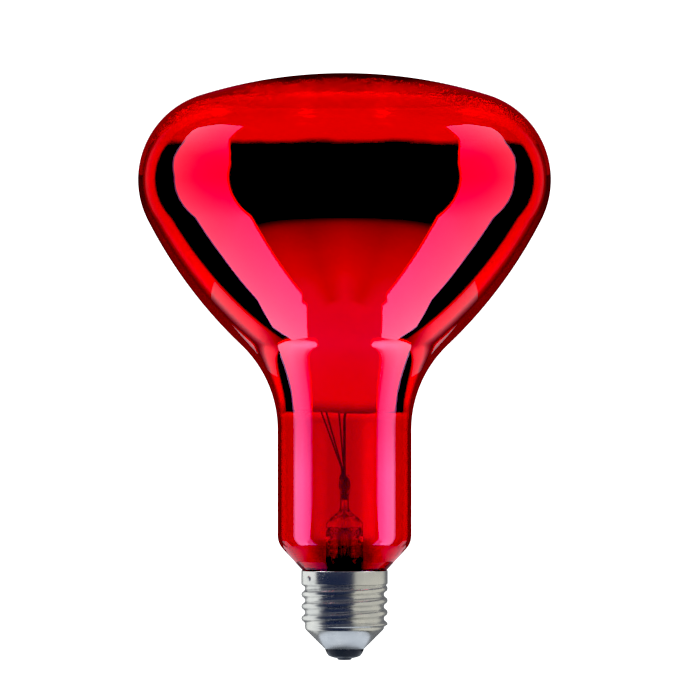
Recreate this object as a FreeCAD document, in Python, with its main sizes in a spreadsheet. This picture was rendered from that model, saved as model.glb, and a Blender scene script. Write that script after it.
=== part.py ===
"""Infrared heat lamp: a hard red reflector bulb, 125 mm across, with a 27 mm screw cap.

The lamp stands cap down. The origin is the middle of the cap's contact face, +Z runs up the lamp's
axis to the dome, and the camera of the photograph looks along +Y. All sizes are millimetres and
degrees. The blown bulb is one wall of red glass with a mirror film inside it. A glass stem carries
the coil on five hooked wires and two leads, and the rolled screw cap closes the neck.
"""
import FreeCAD, Part
import math
import os
import Sketcher
from FreeCAD import Vector, Placement, Rotation

SIZES = {
    # screw cap, stacked up from the contact face
    "solder_height": 0.3,
    "contact_rise": 0.85,
    "skirt_height": 2.27,
    "cone_end_diameter": 12.0,
    "cone_angle": 45.0,
    "shoulder_radius": 1.2,
    "thread_length": 13.3,
    "thread_diameter": 26.15,
    "thread_pitch": 3.629,
    "thread_rounding": 1.025,
    "thread_first": 1.53,
    "thread_blend": 0.9,
    "collar_diameter": 26.2,
    "collar_height": 3.9,
    "cap_wall": 0.3,
    "seat_gap": 0.05,
    # contact disc, solder and insulator
    "contact_diameter": 9.2,
    "contact_thickness": 0.35,
    "contact_bore": 2.4,
    "solder_diameter": 4.4,
    "solder_flat": 3.0,
    "solder_edge": 0.6,
    "solder_neck": 1.3,
    "insulator_diameter": 11.9,
    "insulator_lip": 0.1,
    "insulator_bulge": 6.0,
    "insulator_bore": 3.2,
    "insulator_depth": 3.6,
    # blown bulb, from the dome down to the neck
    "overall_length": 177.6,
    "bulb_diameter": 125.0,
    "dome_radius": 146.5,
    "rim_radius": 26.8,
    "flank_radius": 139.5,
    "throat_radius": 35.5,
    # from the start of the throat up to the top of the dome, so a longer lamp gets a longer neck
    "throat_height": 108.0,
    "neck_diameter": 40.5,
    "heel_radius": 6.0,
    "taper_angle": 42.5,
    "glass_wall": 1.0,
    # the drawn-in end of the neck, inside the cap
    "mouth_gap": 0.1,
    "seal_gap": 0.88,
    "seal_bend": 1.5,
    "seal_length": 3.4,
    "cement_recess": 0.25,
    # mirror film on the inside of the glass, made thick enough to be a solid
    "film_thickness": 0.1,
    "film_gap": 0.08,
    "film_above_rim": 13.0,
    "film_above_throat": 4.9,
    # glass stem: flare, tube, press, exhaust tube and bead
    "stem_diameter": 11.2,
    "stem_wall": 1.0,
    "stem_length": 20.0,
    "press_height": 9.0,
    "press_shoulder": 5.0,
    "press_width": 10.0,
    "press_thickness": 2.8,
    "press_floor": 1.0,
    "exhaust_diameter": 4.0,
    "exhaust_wall": 0.7,
    "exhaust_drop": 9.0,
    "bead_height": 6.0,
    "bead_rim": 0.15,
    "bead_arc": 5.0,
    # leads and supports
    "lead_spacing": 6.4,
    "lead_diameter": 0.8,
    "lead_knee": 24.0,
    "lead_bend": 6.0,
    "seal_wire_diameter": 0.5,
    "tail_diameter": 0.6,
    "wire_embed": 1.5,
    "support_diameter": 0.5,
    "support_gap": 0.06,
    "support_knee": 2.0,
    "support_bend": 3.0,
    "hook_clearance": 0.1,
    # the coil, strung in straight spans from post to post
    "coil_rise": 40.0,
    "coil_circle": 28.0,
    "post_clearance": 0.12,
    "coil_diameter": 2.0,
    "coil_wire": 0.4,
    "coil_leg": 1.2,
    # the lead that runs down to the contact
    "centre_turn_above": 1.5,
    "centre_turn_over": 0.6,
    "centre_turn_radius": 2.0,
    "centre_lead_end": 0.5,
    # the lead that runs out to the cap's collar, and its weld
    "side_angle": 215.0,
    "side_drop": 4.0,
    "side_gap": 0.45,
    "side_turn": 1.0,
    "side_below_collar": 0.5,
    "side_rise": 2.2,
    "weld_radius": 1.2,
    "weld_rise": 0.4,
    "weld_height": 1.6,
}

POSTS = 7
THREAD_STEPS_ROUND = 48
THREAD_STEPS_PITCH = 8
COIL_TURNS = 6
COIL_STEPS = 10
COIL_SIDES = 4
# the press's ends are arcs a little flatter than half circles
PRESS_END_FLATNESS = 1.15
# points of a faceted skin closer than this are one point
SAME_POINT = 0.0001

doc = FreeCAD.newDocument("heat_lamp")
sheet = doc.addObject("Spreadsheet::Sheet", "Sizes")
worked_values = doc.addObject("App::VarSet", "Worked")


class Size:
    """A value in millimetres or degrees with the expression that gives it, so that one formula
    both places the geometry and binds it to the spreadsheet."""

    def __init__(self, value, text=None):
        self.value = float(value)
        self.text = text if text else repr(float(value))

    def __add__(self, other):
        other = size_of(other)
        return Size(self.value + other.value, f"({self.text} + {other.text})")

    def __radd__(self, other):
        return size_of(other) + self

    def __sub__(self, other):
        other = size_of(other)
        return Size(self.value - other.value, f"({self.text} - {other.text})")

    def __rsub__(self, other):
        return size_of(other) - self

    def __mul__(self, other):
        other = size_of(other)
        return Size(self.value * other.value, f"({self.text} * {other.text})")

    def __rmul__(self, other):
        return size_of(other) * self

    def __truediv__(self, other):
        other = size_of(other)
        return Size(self.value / other.value, f"({self.text} / {other.text})")

    def __neg__(self):
        return Size(0) - self


def size_of(value):
    return value if isinstance(value, Size) else Size(value)


def sine(angle):
    angle = size_of(angle)
    return Size(math.sin(math.radians(angle.value)), f"sin({angle.text} * 1 deg)")


def cosine(angle):
    angle = size_of(angle)
    return Size(math.cos(math.radians(angle.value)), f"cos({angle.text} * 1 deg)")


def root(square):
    return Size(math.sqrt(square.value), f"sqrt({square.text})")


def arc_sine(ratio):
    return Size(math.degrees(math.asin(ratio.value)), f"(asin({ratio.text}) / 1 deg)")


def direction(rise, run):
    text = f"(atan2({rise.text}; {run.text}) / 1 deg)"
    return Size(math.degrees(math.atan2(rise.value, run.value)), text)


def worked(name, size):
    """Keeps a worked-out size under a name of its own, so that the formulas that use it stay short."""
    worked_values.addProperty("App::PropertyFloat", name)
    setattr(worked_values, name, size.value)
    worked_values.setExpression(name, size.text)
    return Size(size.value, "Worked." + name)


for row, (alias, value) in enumerate(SIZES.items(), start=1):
    sheet.set(f"A{row}", alias)
    sheet.set(f"B{row}", str(value))
    sheet.setAlias(f"B{row}", alias)
doc.recompute()
size = {alias: Size(sheet.get(alias), "Sizes." + alias) for alias in SIZES}


# sketches and bodies


def origin_plane(body, role):
    return next(item for item in body.Origin.OriginFeatures if item.Role == role)


def sketch_on(body, name, role, height=None):
    sketch = body.newObject("Sketcher::SketchObject", name)
    sketch.AttachmentSupport = [(origin_plane(body, role), "")]
    sketch.MapMode = "FlatFace"
    if height is not None:
        sketch.AttachmentOffset = Placement(Vector(0, 0, height.value), Rotation())
        sketch.setExpression("AttachmentOffset.Base.z", height.text)
    return sketch


def pin_to(sketch, geometry, end, axis, size):
    """Holds one coordinate of an end point at a size, or on the axis where it is zero."""
    if size.text == "0.0":
        line = -2 if axis == "DistanceX" else -1
        sketch.addConstraint(Sketcher.Constraint("PointOnObject", geometry, end, line))
        return
    number = sketch.addConstraint(Sketcher.Constraint(axis, geometry, end, size.value))
    sketch.setExpression(f"Constraints[{number}]", size.text)


def draw(sketch, corners, closed=True):
    """Draws lines and arcs from corner to corner. A corner is (x, y), or (x, y, radius, turn) where
    the edge that leads to it is an arc that turns "left" or "right" by less than half a circle."""
    count = len(corners)
    edges = range(count) if closed else range(1, count)
    ends = {}
    for index in edges:
        start = corners[index - 1]
        stop = corners[index]
        a = Vector(size_of(start[0]).value, size_of(start[1]).value, 0)
        b = Vector(size_of(stop[0]).value, size_of(stop[1]).value, 0)
        if len(stop) == 2:
            number = sketch.addGeometry(Part.LineSegment(a, b))
            ends[index] = (number, 1, 2)
            continue
        radius = size_of(stop[2])
        left = stop[3] == "left"
        chord = b - a
        rise = math.sqrt(max(radius.value ** 2 - (chord.Length / 2) ** 2, 0))
        normal = Vector(-chord.y, chord.x, 0).normalize()
        centre = (a + b) / 2 + normal * (rise if left else -rise)
        first, last = (a, b) if left else (b, a)
        start_angle = math.atan2(first.y - centre.y, first.x - centre.x)
        stop_angle = math.atan2(last.y - centre.y, last.x - centre.x)
        circle = Part.Circle(centre, Vector(0, 0, 1), radius.value)
        number = sketch.addGeometry(Part.ArcOfCircle(circle, start_angle, stop_angle))
        ends[index] = (number, 1, 2) if left else (number, 2, 1)
        bound = sketch.addConstraint(Sketcher.Constraint("Radius", number, radius.value))
        sketch.setExpression(f"Constraints[{bound}]", radius.text)
    for index in edges:
        number, first, last = ends[index]
        following = (index + 1) % count
        if closed or index + 1 < count:
            other = ends[following]
            sketch.addConstraint(Sketcher.Constraint("Coincident", number, last, other[0], other[1]))
        pin_to(sketch, number, last, "DistanceX", size_of(corners[index][0]))
        pin_to(sketch, number, last, "DistanceY", size_of(corners[index][1]))
    if not closed:
        number, first, last = ends[1]
        pin_to(sketch, number, first, "DistanceX", size_of(corners[0][0]))
        pin_to(sketch, number, first, "DistanceY", size_of(corners[0][1]))


def new_body(label):
    body = doc.addObject("PartDesign::Body", label)
    body.Label = label
    return body


def place(item, x, y, z, turn=0.0):
    """Binds an object's placement: a point and a turn about the vertical axis."""
    x, y, z, turn = size_of(x), size_of(y), size_of(z), size_of(turn)
    item.Placement = Placement(Vector(x.value, y.value, z.value), Rotation(Vector(0, 0, 1), turn.value))
    item.setExpression("Placement.Base.x", x.text)
    item.setExpression("Placement.Base.y", y.text)
    item.setExpression("Placement.Base.z", z.text)
    item.setExpression("Placement.Rotation.Angle", turn.text)


def revolved(label, corners):
    """A body turned from one outline about the lamp's axis."""
    body = new_body(label)
    outline = sketch_on(body, label + "_outline", "XZ_Plane")
    draw(outline, corners)
    turned = body.newObject("PartDesign::Revolution", label + "_turned")
    turned.Profile = outline
    turned.ReferenceAxis = (outline, ["V_Axis"])
    turned.Angle = 360
    return body


def wire_body(label, diameter, path):
    """A round wire along a path in the body's XZ plane that starts upright at the body's origin."""
    body = new_body(label)
    section = sketch_on(body, label + "_section", "XY_Plane")
    circle = section.addGeometry(Part.Circle(Vector(0, 0, 0), Vector(0, 0, 1), diameter.value / 2))
    section.addConstraint(Sketcher.Constraint("Coincident", circle, 3, -1, 1))
    bound = section.addConstraint(Sketcher.Constraint("Diameter", circle, diameter.value))
    section.setExpression(f"Constraints[{bound}]", diameter.text)
    route = sketch_on(body, label + "_route", "XZ_Plane")
    draw(route, path, closed=False)
    pipe = body.newObject("PartDesign::AdditivePipe", label + "_pipe")
    pipe.Profile = section
    pipe.Spine = route
    return body


def rounded(points, radii):
    """A path of straight runs with a tangent arc at each inner point."""
    points = [(size_of(x), size_of(y)) for x, y in points]
    path = [points[0]]
    for index in range(1, len(points) - 1):
        before, here, after = points[index - 1], points[index], points[index + 1]
        radius = size_of(radii[index - 1])
        into = [here[0] - before[0], here[1] - before[1]]
        out = [after[0] - here[0], after[1] - here[1]]
        into_length = root(into[0] * into[0] + into[1] * into[1])
        out_length = root(out[0] * out[0] + out[1] * out[1])
        cross = (into[0] * out[1] - into[1] * out[0]) / (into_length * out_length)
        dot = (into[0] * out[0] + into[1] * out[1]) / (into_length * out_length)
        side = 1 if cross.value > 0 else -1
        # the arc meets each run at radius x tan(turn / 2) from the corner
        setback = radius * (cross * side) / (dot + 1)
        back = setback / into_length
        ahead = setback / out_length
        path.append((here[0] - into[0] * back, here[1] - into[1] * back))
        bend = (radius, "left" if side > 0 else "right")
        path.append((here[0] + out[0] * ahead, here[1] + out[1] * ahead) + bend)
    path.append(points[-1])
    return path


def cut_from(label, base, tools):
    """The base with the tools' own shapes taken out of it, so that they sit in it face to face."""
    cut = base
    for number, tool in enumerate(tools, start=1):
        name = label if number == len(tools) else f"{label}_cut_{number}"
        result = doc.addObject("Part::Cut", name)
        result.Base = cut
        result.Tool = tool
        cut = result
    cut.Label = label
    return cut


def faceted(label, points, triangles):
    """A closed solid of flat triangles."""
    skin = Part.Shape()
    skin.makeShapeFromMesh((points, triangles), SAME_POINT)
    solid = Part.Solid(Part.Shell(skin.Faces))
    if solid.Volume < 0:
        solid.reverse()
    feature = doc.addObject("Part::Feature", label)
    feature.Shape = solid
    feature.Label = label
    feature.Placement = Placement(Vector(0, 0, 0), Rotation())
    return feature


def rings_skin(rings, closed_ends):
    """Triangles between rings that all have as many points. With closed_ends the first and last
    rings are filled, and without it the last ring is joined to the first."""
    points = [point for ring in rings for point in ring]
    count = len(rings[0])
    triangles = []
    steps = len(rings) - 1 if closed_ends else len(rings)
    for step in range(steps):
        low = step * count
        high = (step + 1) % len(rings) * count
        for index in range(count):
            after = (index + 1) % count
            triangles.append((low + index, low + after, high + after))
            triangles.append((low + index, high + after, high + index))
    if closed_ends:
        last = (len(rings) - 1) * count
        for index in range(1, count - 1):
            triangles.append((0, index + 1, index))
            triangles.append((last, last + index, last + index + 1))
    return points, triangles


# heights and radii that several pieces share, from the contact face upwards

contact_edge_z = worked("contact_edge_z", size["solder_height"] + size["contact_rise"])
cone_end_z = worked("cone_end_z", contact_edge_z + size["skirt_height"])
cone_end = size["cone_end_diameter"] / 2
arc_step = size["thread_pitch"] / 2
arc_apart = root(4 * size["thread_rounding"] * size["thread_rounding"] - arc_step * arc_step)
thread_depth = worked("thread_depth", 2 * size["thread_rounding"] - arc_apart)
thread_crest = size["thread_diameter"] / 2
thread_root = worked("thread_root", thread_crest - thread_depth)
shoulder_in = size["shoulder_radius"] * (1 - cosine(size["cone_angle"]))
shoulder_z = worked(
    "shoulder_z",
    cone_end_z + (thread_root - shoulder_in - cone_end) / sine(size["cone_angle"]) * cosine(size["cone_angle"]),
)
thread_z = worked("thread_z", shoulder_z + size["shoulder_radius"] * sine(size["cone_angle"]))
collar_z = worked("collar_z", thread_z + size["thread_length"])
cap_z = worked("cap_z", collar_z + size["collar_height"])
collar_inner = worked("collar_inner", size["collar_diameter"] / 2 - size["cap_wall"])
insulator_z = worked("insulator_z", cone_end_z + size["insulator_depth"])

neck = size["neck_diameter"] / 2
wall = size["glass_wall"]
taper = size["taper_angle"]
seal = worked("seal", thread_root - size["cap_wall"] - size["seal_gap"])
mouth = worked("mouth", collar_inner - size["mouth_gap"])
taper_slope = cosine(taper) / sine(taper)
heel_x = neck - size["heel_radius"]
heel_out = heel_x + size["heel_radius"] * cosine(taper)
heel_z = worked("heel_z", cap_z + (heel_out - mouth) * taper_slope + size["heel_radius"] * sine(taper))
bend_out = seal + size["seal_bend"] * (1 - cosine(taper))
bend_z = worked("bend_z", cap_z - (mouth - bend_out) * taper_slope - size["seal_bend"] * sine(taper))
seal_z = worked("seal_z", bend_z - size["seal_length"])

press_z = worked("press_z", seal_z + size["stem_length"])
press_top = worked("press_top", press_z + size["press_height"])
bead_top = worked("bead_top", press_top + size["bead_height"])
coil_z = worked("coil_z", bead_top + size["coil_rise"])
coil_ring = size["coil_circle"] / 2
lead_y = size["lead_spacing"] / 2
# the outermost supports pass just behind the upright leads, and that sets the angle between posts
lead_pass = (size["lead_diameter"] + size["support_diameter"]) / 2 + size["post_clearance"]
post_step = worked("post_step", (90 - arc_sine(lead_pass / lead_y)) / 2)
support_pitch = size["support_diameter"] + size["support_gap"]
support_ring = worked("support_ring", support_pitch / (2 * sine(post_step / 2)))
tail_z = worked("tail_z", press_z + size["wire_embed"])
lead_z = worked("lead_z", press_top - size["wire_embed"])
exhaust_tip_z = worked("exhaust_tip_z", seal_z - size["exhaust_drop"])

# the bulb's outline is four arcs, dome, rim, flank and throat, each tangent to the next

dome_z = worked("dome_z", size["overall_length"] - size["dome_radius"])
rim_x = worked("rim_x", size["bulb_diameter"] / 2 - size["rim_radius"])
dome_to_rim = worked("dome_to_rim", size["dome_radius"] - size["rim_radius"])
rim_z = worked("rim_z", dome_z + root(dome_to_rim * dome_to_rim - rim_x * rim_x))
throat_x = worked("throat_x", neck + size["throat_radius"])
throat_z = worked("throat_z", size["overall_length"] - size["throat_height"])
flank_to_rim = worked("flank_to_rim", size["flank_radius"] - size["rim_radius"])
flank_to_throat = worked("flank_to_throat", size["flank_radius"] + size["throat_radius"])
across = worked("across", throat_x - rim_x)
down = worked("down", throat_z - rim_z)
rim_to_throat = worked("rim_to_throat", root(across * across + down * down))
flank_along = worked(
    "flank_along",
    (flank_to_rim * flank_to_rim - flank_to_throat * flank_to_throat + rim_to_throat * rim_to_throat)
    / (2 * rim_to_throat),
)
flank_aside = worked("flank_aside", root(flank_to_rim * flank_to_rim - flank_along * flank_along))
flank_x = worked("flank_x", rim_x + (flank_along * across + flank_aside * down) / rim_to_throat)
flank_z = worked("flank_z", rim_z + (flank_along * down - flank_aside * across) / rim_to_throat)


def dome_meets_rim(depth):
    share = (size["dome_radius"] - depth) / dome_to_rim
    return share * rim_x, dome_z + share * (rim_z - dome_z)


def rim_meets_flank(depth):
    share = (size["flank_radius"] - depth) / flank_to_rim
    return flank_x + share * (rim_x - flank_x), flank_z + share * (rim_z - flank_z)


def flank_meets_throat(depth):
    share = (size["flank_radius"] - depth) / flank_to_throat
    return flank_x + share * (throat_x - flank_x), flank_z + share * (throat_z - flank_z)


def heel_end(depth):
    radius = size["heel_radius"] - depth
    return heel_x + radius * cosine(taper), heel_z - radius * sine(taper)


def bend_start(depth):
    radius = size["seal_bend"] + depth
    return seal + size["seal_bend"] - radius * cosine(taper), bend_z + radius * sine(taper)


def glass_envelope():
    """The blown bulb: one wall of glass from the dome to the drawn-in end of the neck."""
    corners = [
        (0, size["overall_length"]),
        dome_meets_rim(0) + (size["dome_radius"], "right"),
        rim_meets_flank(0) + (size["rim_radius"], "right"),
        flank_meets_throat(0) + (size["flank_radius"], "right"),
        (neck, throat_z, size["throat_radius"], "left"),
        (neck, heel_z),
        heel_end(0) + (size["heel_radius"], "right"),
        bend_start(0),
        (seal, bend_z, size["seal_bend"], "left"),
        (seal, seal_z),
        (seal - wall, seal_z),
        (seal - wall, bend_z),
        bend_start(wall) + (size["seal_bend"] + wall, "right"),
        heel_end(wall),
        (neck - wall, heel_z, size["heel_radius"] - wall, "left"),
        (neck - wall, throat_z),
        flank_meets_throat(wall) + (size["throat_radius"] + wall, "right"),
        rim_meets_flank(wall) + (size["flank_radius"] - wall, "left"),
        dome_meets_rim(wall) + (size["rim_radius"] - wall, "left"),
        (0, size["overall_length"] - wall, size["dome_radius"] - wall, "left"),
    ]
    return revolved("glass_envelope", corners)


def reflector_film():
    """The mirror film on the inside of the rim, the flank and the upper throat."""
    skin = wall + size["film_gap"]
    depth = skin + size["film_thickness"]
    top = worked("film_top", rim_z + size["film_above_rim"])
    bottom = worked("film_bottom", throat_z + size["film_above_throat"])

    def top_x(inset):
        radius = size["rim_radius"] - inset
        return rim_x + root(radius * radius - (top - rim_z) * (top - rim_z))

    def bottom_x(inset):
        radius = size["throat_radius"] + inset
        return throat_x - root(radius * radius - (bottom - throat_z) * (bottom - throat_z))

    corners = [
        (top_x(skin), top),
        rim_meets_flank(skin) + (size["rim_radius"] - skin, "right"),
        flank_meets_throat(skin) + (size["flank_radius"] - skin, "right"),
        (bottom_x(skin), bottom, size["throat_radius"] + skin, "left"),
        (bottom_x(depth), bottom),
        flank_meets_throat(depth) + (size["throat_radius"] + depth, "right"),
        rim_meets_flank(depth) + (size["flank_radius"] - depth, "left"),
        (top_x(depth), top, size["rim_radius"] - depth, "left"),
    ]
    return revolved("reflector_film", corners)


def press_section(body, name, height, thickness, width):
    """A flat oval across the press: two straight sides and two rounded ends."""
    half = thickness / 2
    end = width / 2 - half
    round_end = half * PRESS_END_FLATNESS
    section = sketch_on(body, name, "XY_Plane", height)
    corners = [
        (half, -end, round_end, "left"),
        (half, end),
        (-half, end, round_end, "left"),
        (-half, -end),
    ]
    draw(section, corners)
    return section


def stem_glass():
    """The stem before its wires: a trumpet flare and tube, pressed flat at the top."""
    radius = size["stem_diameter"] / 2
    bore = radius - size["stem_wall"]
    flare = seal - wall - radius
    flare_z = seal_z + flare
    under = seal_z - size["stem_wall"]
    floor = press_z - size["press_floor"]
    corners = [
        (0, press_z),
        (radius, press_z),
        (radius, flare_z),
        (seal - wall, seal_z, flare, "left"),
        (seal, seal_z),
        (seal, under),
        (seal - wall, under),
        (bore, flare_z, flare + size["stem_wall"], "right"),
        (bore, floor),
        (0, floor),
    ]
    body = revolved("stem_glass", corners)
    diagonal = radius * math.sqrt(0.5)
    foot = sketch_on(body, "press_foot", "XY_Plane", press_z)
    foot_corners = [
        (diagonal, -diagonal, radius, "left"),
        (diagonal, diagonal, radius, "left"),
        (-diagonal, diagonal, radius, "left"),
        (-diagonal, -diagonal, radius, "left"),
    ]
    draw(foot, foot_corners)
    thickness = size["press_thickness"]
    pressed_z = press_z + size["press_shoulder"]
    shoulder = press_section(body, "press_shoulder", pressed_z, thickness, size["press_width"])
    top = press_section(body, "press_end", press_top, thickness, size["press_width"])
    loft = body.newObject("PartDesign::AdditiveLoft", "press")
    loft.Profile = foot
    loft.Sections = [shoulder, top]
    loft.Ruled = True
    return body


def exhaust_tube():
    """The tube that the bulb was pumped and filled through, sealed at its tip inside the cap."""
    outer = size["exhaust_diameter"] / 2
    inner = outer - size["exhaust_wall"]
    top = press_z - size["press_floor"]
    corners = [
        (inner, top),
        (outer, top),
        (outer, exhaust_tip_z + outer),
        (0, exhaust_tip_z, outer, "right"),
        (0, exhaust_tip_z + size["exhaust_wall"]),
        (inner, exhaust_tip_z + outer, inner, "left"),
    ]
    return revolved("exhaust_tube", corners)


def bead_glass():
    """The oval glass bead on the press, before the supports are set in it."""
    flat = support_ring + size["support_diameter"] / 2 + size["bead_rim"]
    corners = [
        (0, press_top),
        (flat, press_top),
        (flat, bead_top, size["bead_arc"], "left"),
        (0, bead_top),
    ]
    return revolved("bead_glass", corners)


def hooked_path(name, knee, reach, height, bend, hook):
    """Upright to the knee, straight to the coil and hooked three quarters of the way round it."""
    slant = height - knee
    span = worked(name + "_span", root(reach * reach + slant * slant))
    tilt = worked(name + "_tilt", direction(slant, reach) - arc_sine(hook / span))
    run = worked(name + "_run", root(span * span - hook * hook))
    path = rounded([(0, 0), (0, knee), (run * cosine(tilt), knee + run * sine(tilt))], [bend])
    for quarter in (1, 2, 3):
        angle = tilt + 90 * quarter
        path.append((reach + hook * sine(angle), height - hook * cosine(angle), hook, "left"))
    return path


def post_angle(number):
    """The direction of a post round the lamp's axis. The ring of posts opens towards +X."""
    return 180 + post_step * (number - (POSTS - 1) / 2)


def support_wires():
    """The five wires that stand in the bead and carry the coil between the leads."""
    foot_z = worked("support_foot_z", bead_top - size["wire_embed"])
    hook = (size["support_diameter"] + size["coil_wire"]) / 2 + size["hook_clearance"]
    knee = size["wire_embed"] + size["support_knee"]
    path = hooked_path("support", knee, coil_ring - support_ring, coil_z - foot_z, size["support_bend"], hook)
    wires = []
    for number in range(1, POSTS - 1):
        wire = wire_body(f"support_wire_{number}", size["support_diameter"], path)
        angle = post_angle(number)
        place(wire, support_ring * cosine(angle), support_ring * sine(angle), foot_z, angle)
        wires.append(wire)
    return wires


def inner_leads():
    """The two stiff leads that rise from the press and hook round the coil's ends."""
    hook = (size["lead_diameter"] + size["coil_wire"]) / 2 + size["hook_clearance"]
    knee = size["wire_embed"] + size["lead_knee"]
    end_angle = post_angle(0)
    out = worked("lead_out", coil_ring * cosine(end_angle))
    aside = worked("lead_aside", coil_ring * sine(end_angle) - lead_y)
    reach = worked("lead_reach", root(out * out + aside * aside))
    turn = worked("lead_turn", direction(aside, out))
    path = hooked_path("lead", knee, reach, coil_z - lead_z, size["lead_bend"], hook)
    leads = []
    for number, side in ((1, 1), (2, -1)):
        lead = wire_body(f"inner_lead_{number}", size["lead_diameter"], path)
        place(lead, 0, lead_y * side, lead_z, turn * side)
        leads.append(lead)
    return leads


def seal_wires():
    """The short wires that pass current through the press and seal to its glass."""
    wires = []
    for number, side in ((1, 1), (2, -1)):
        wire = doc.addObject("Part::Cylinder", f"seal_wire_{number}")
        wire.Label = f"seal_wire_{number}"
        wire.setExpression("Radius", (size["seal_wire_diameter"] / 2).text)
        wire.setExpression("Height", (lead_z - tail_z).text)
        place(wire, 0, lead_y * side, tail_z)
        wires.append(wire)
    return wires


def centre_lead():
    """The tail that runs down past the exhaust tube and on to the solder in the contact."""
    top = exhaust_tip_z + size["centre_turn_above"]
    bottom = insulator_z + size["centre_turn_over"]
    points = [
        (0, 0),
        (0, top - tail_z),
        (lead_y, bottom - tail_z),
        (lead_y, size["centre_lead_end"] - tail_z),
    ]
    radius = size["centre_turn_radius"]
    lead = wire_body("outer_lead_centre", size["tail_diameter"], rounded(points, [radius, radius]))
    place(lead, 0, lead_y, tail_z, -90)
    return lead


def side_lead():
    """The tail that turns out under the flare and up to the inside of the cap's collar."""
    thickness = size["tail_diameter"]
    rise_radius = seal + size["side_gap"]
    end_radius = collar_inner - thickness / 2 - size["seat_gap"]
    angle = size["side_angle"]
    out = worked("side_out", end_radius * cosine(angle))
    aside = worked("side_aside", end_radius * sine(angle) + lead_y)
    reach = worked("side_reach", root(out * out + aside * aside))
    turn = worked("side_turn_to", direction(aside, out))
    # where the straight way out crosses the circle that the rise stands on
    toward = worked("side_toward", (-lead_y) * aside / reach)
    rise = worked("side_rise_x", root(toward * toward - lead_y * lead_y + rise_radius * rise_radius) - toward)
    low = seal_z - size["side_drop"] - tail_z
    points = [
        (0, 0),
        (0, low),
        (rise, low),
        (rise, collar_z - size["side_below_collar"] - tail_z),
        (reach, collar_z + size["side_rise"] - tail_z),
    ]
    radii = [size["side_turn"]] * 3
    lead = wire_body("outer_lead_side", thickness, rounded(points, radii))
    place(lead, 0, -lead_y, tail_z, turn)
    return lead


def filament():
    """The tungsten coil: one wire, strung from hook to hook, coiled between them."""
    radius = (size["coil_diameter"].value - size["coil_wire"].value) / 2
    ring = coil_ring.value
    leg = size["coil_leg"].value
    up = Vector(0, 0, 1)
    posts = []
    for number in range(POSTS):
        angle = math.radians(post_angle(number).value)
        posts.append(Vector(ring * math.cos(angle), ring * math.sin(angle), coil_z.value))
    first = (posts[0] - posts[1]).normalize()
    last = (posts[-1] - posts[-2]).normalize()
    path = [posts[0] + first * (leg / 2), posts[0]]
    steps = COIL_TURNS * COIL_STEPS
    for start, stop in zip(posts, posts[1:]):
        along = (stop - start).normalize()
        out = along.cross(up)
        length = (stop - start).Length - 2 * leg
        for step in range(steps + 1):
            turns = step / COIL_STEPS
            # the coil opens and closes over half a turn at each end
            swell = radius * min(1, 2 * turns, 2 * (COIL_TURNS - turns))
            angle = 2 * math.pi * turns
            axis = start + along * (leg + length * step / steps)
            path.append(axis + (out * math.cos(angle) + up * math.sin(angle)) * swell)
        path.append(stop)
    path.append(posts[-1] + last * (leg / 2))

    half = size["coil_wire"].value / 2
    side = up
    rings = []
    for index, point in enumerate(path):
        behind = path[max(index - 1, 0)]
        ahead = path[min(index + 1, len(path) - 1)]
        along = (ahead - behind).normalize()
        # the section keeps its direction as far as the wire's own bends allow
        side = (side - along * side.dot(along)).normalize()
        across = along.cross(side)
        ring_points = []
        for corner in range(COIL_SIDES):
            angle = 2 * math.pi * corner / COIL_SIDES
            ring_points.append(point + (side * math.cos(angle) + across * math.sin(angle)) * half)
        rings.append(ring_points)
    return faceted("filament", *rings_skin(rings, True))


def smooth_step(share):
    share = min(max(share, 0), 1)
    return share * share * (3 - 2 * share)


def thread_radius(angle, height):
    """The rolled thread: crests and roots are arcs of one radius. It fades into the collar above
    and into the shoulder below."""
    pitch = size["thread_pitch"].value
    rounding = size["thread_rounding"].value
    first = collar_z.value - size["thread_first"].value
    turns = (height - first) / pitch - angle / (2 * math.pi)
    from_crest = abs(turns - round(turns)) * pitch
    if from_crest <= pitch / 4:
        radius = thread_crest.value - rounding + math.sqrt(rounding ** 2 - from_crest ** 2)
    else:
        from_root = pitch / 2 - from_crest
        radius = thread_root.value + rounding - math.sqrt(rounding ** 2 - from_root ** 2)
    blend = size["thread_blend"].value
    collar = size["collar_diameter"].value / 2
    upper = smooth_step((height - collar_z.value + blend) / blend)
    lower = smooth_step((height - thread_z.value) / blend)
    radius = radius * (1 - upper) + collar * upper
    return thread_root.value * (1 - lower) + radius * lower


def shell_rings(inset):
    """Rings of points up one skin of the cap, from the cone's end to the collar's rim."""
    cone = math.radians(size["cone_angle"].value)
    shoulder = size["shoulder_radius"].value
    centre = thread_root.value - shoulder
    stations = [(cone_end.value - inset / math.cos(cone), cone_end_z.value)]
    for share in (1, 2 / 3, 1 / 3):
        radius = shoulder - inset
        x = centre + radius * math.cos(cone * share)
        stations.append((x, thread_z.value - radius * math.sin(cone * share)))
    rows = round(size["thread_length"].value / size["thread_pitch"].value * THREAD_STEPS_PITCH)
    for row in range(rows + 1):
        stations.append((None, thread_z.value + size["thread_length"].value * row / rows))
    stations.append((size["collar_diameter"].value / 2 - inset, cap_z.value))
    rings = []
    for radius, height in stations:
        ring = []
        for step in range(THREAD_STEPS_ROUND):
            angle = 2 * math.pi * step / THREAD_STEPS_ROUND
            reach = thread_radius(angle, height) - inset if radius is None else radius
            ring.append(Vector(reach * math.cos(angle), reach * math.sin(angle), height))
        rings.append(ring)
    return rings


def screw_shell():
    """The rolled cap: a thin shell with a plain collar, a rounded helical thread and a cone."""
    outer = shell_rings(0)
    inner = shell_rings(size["cap_wall"].value)
    return faceted("screw_shell", *rings_skin(outer + inner[::-1], False))


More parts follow.
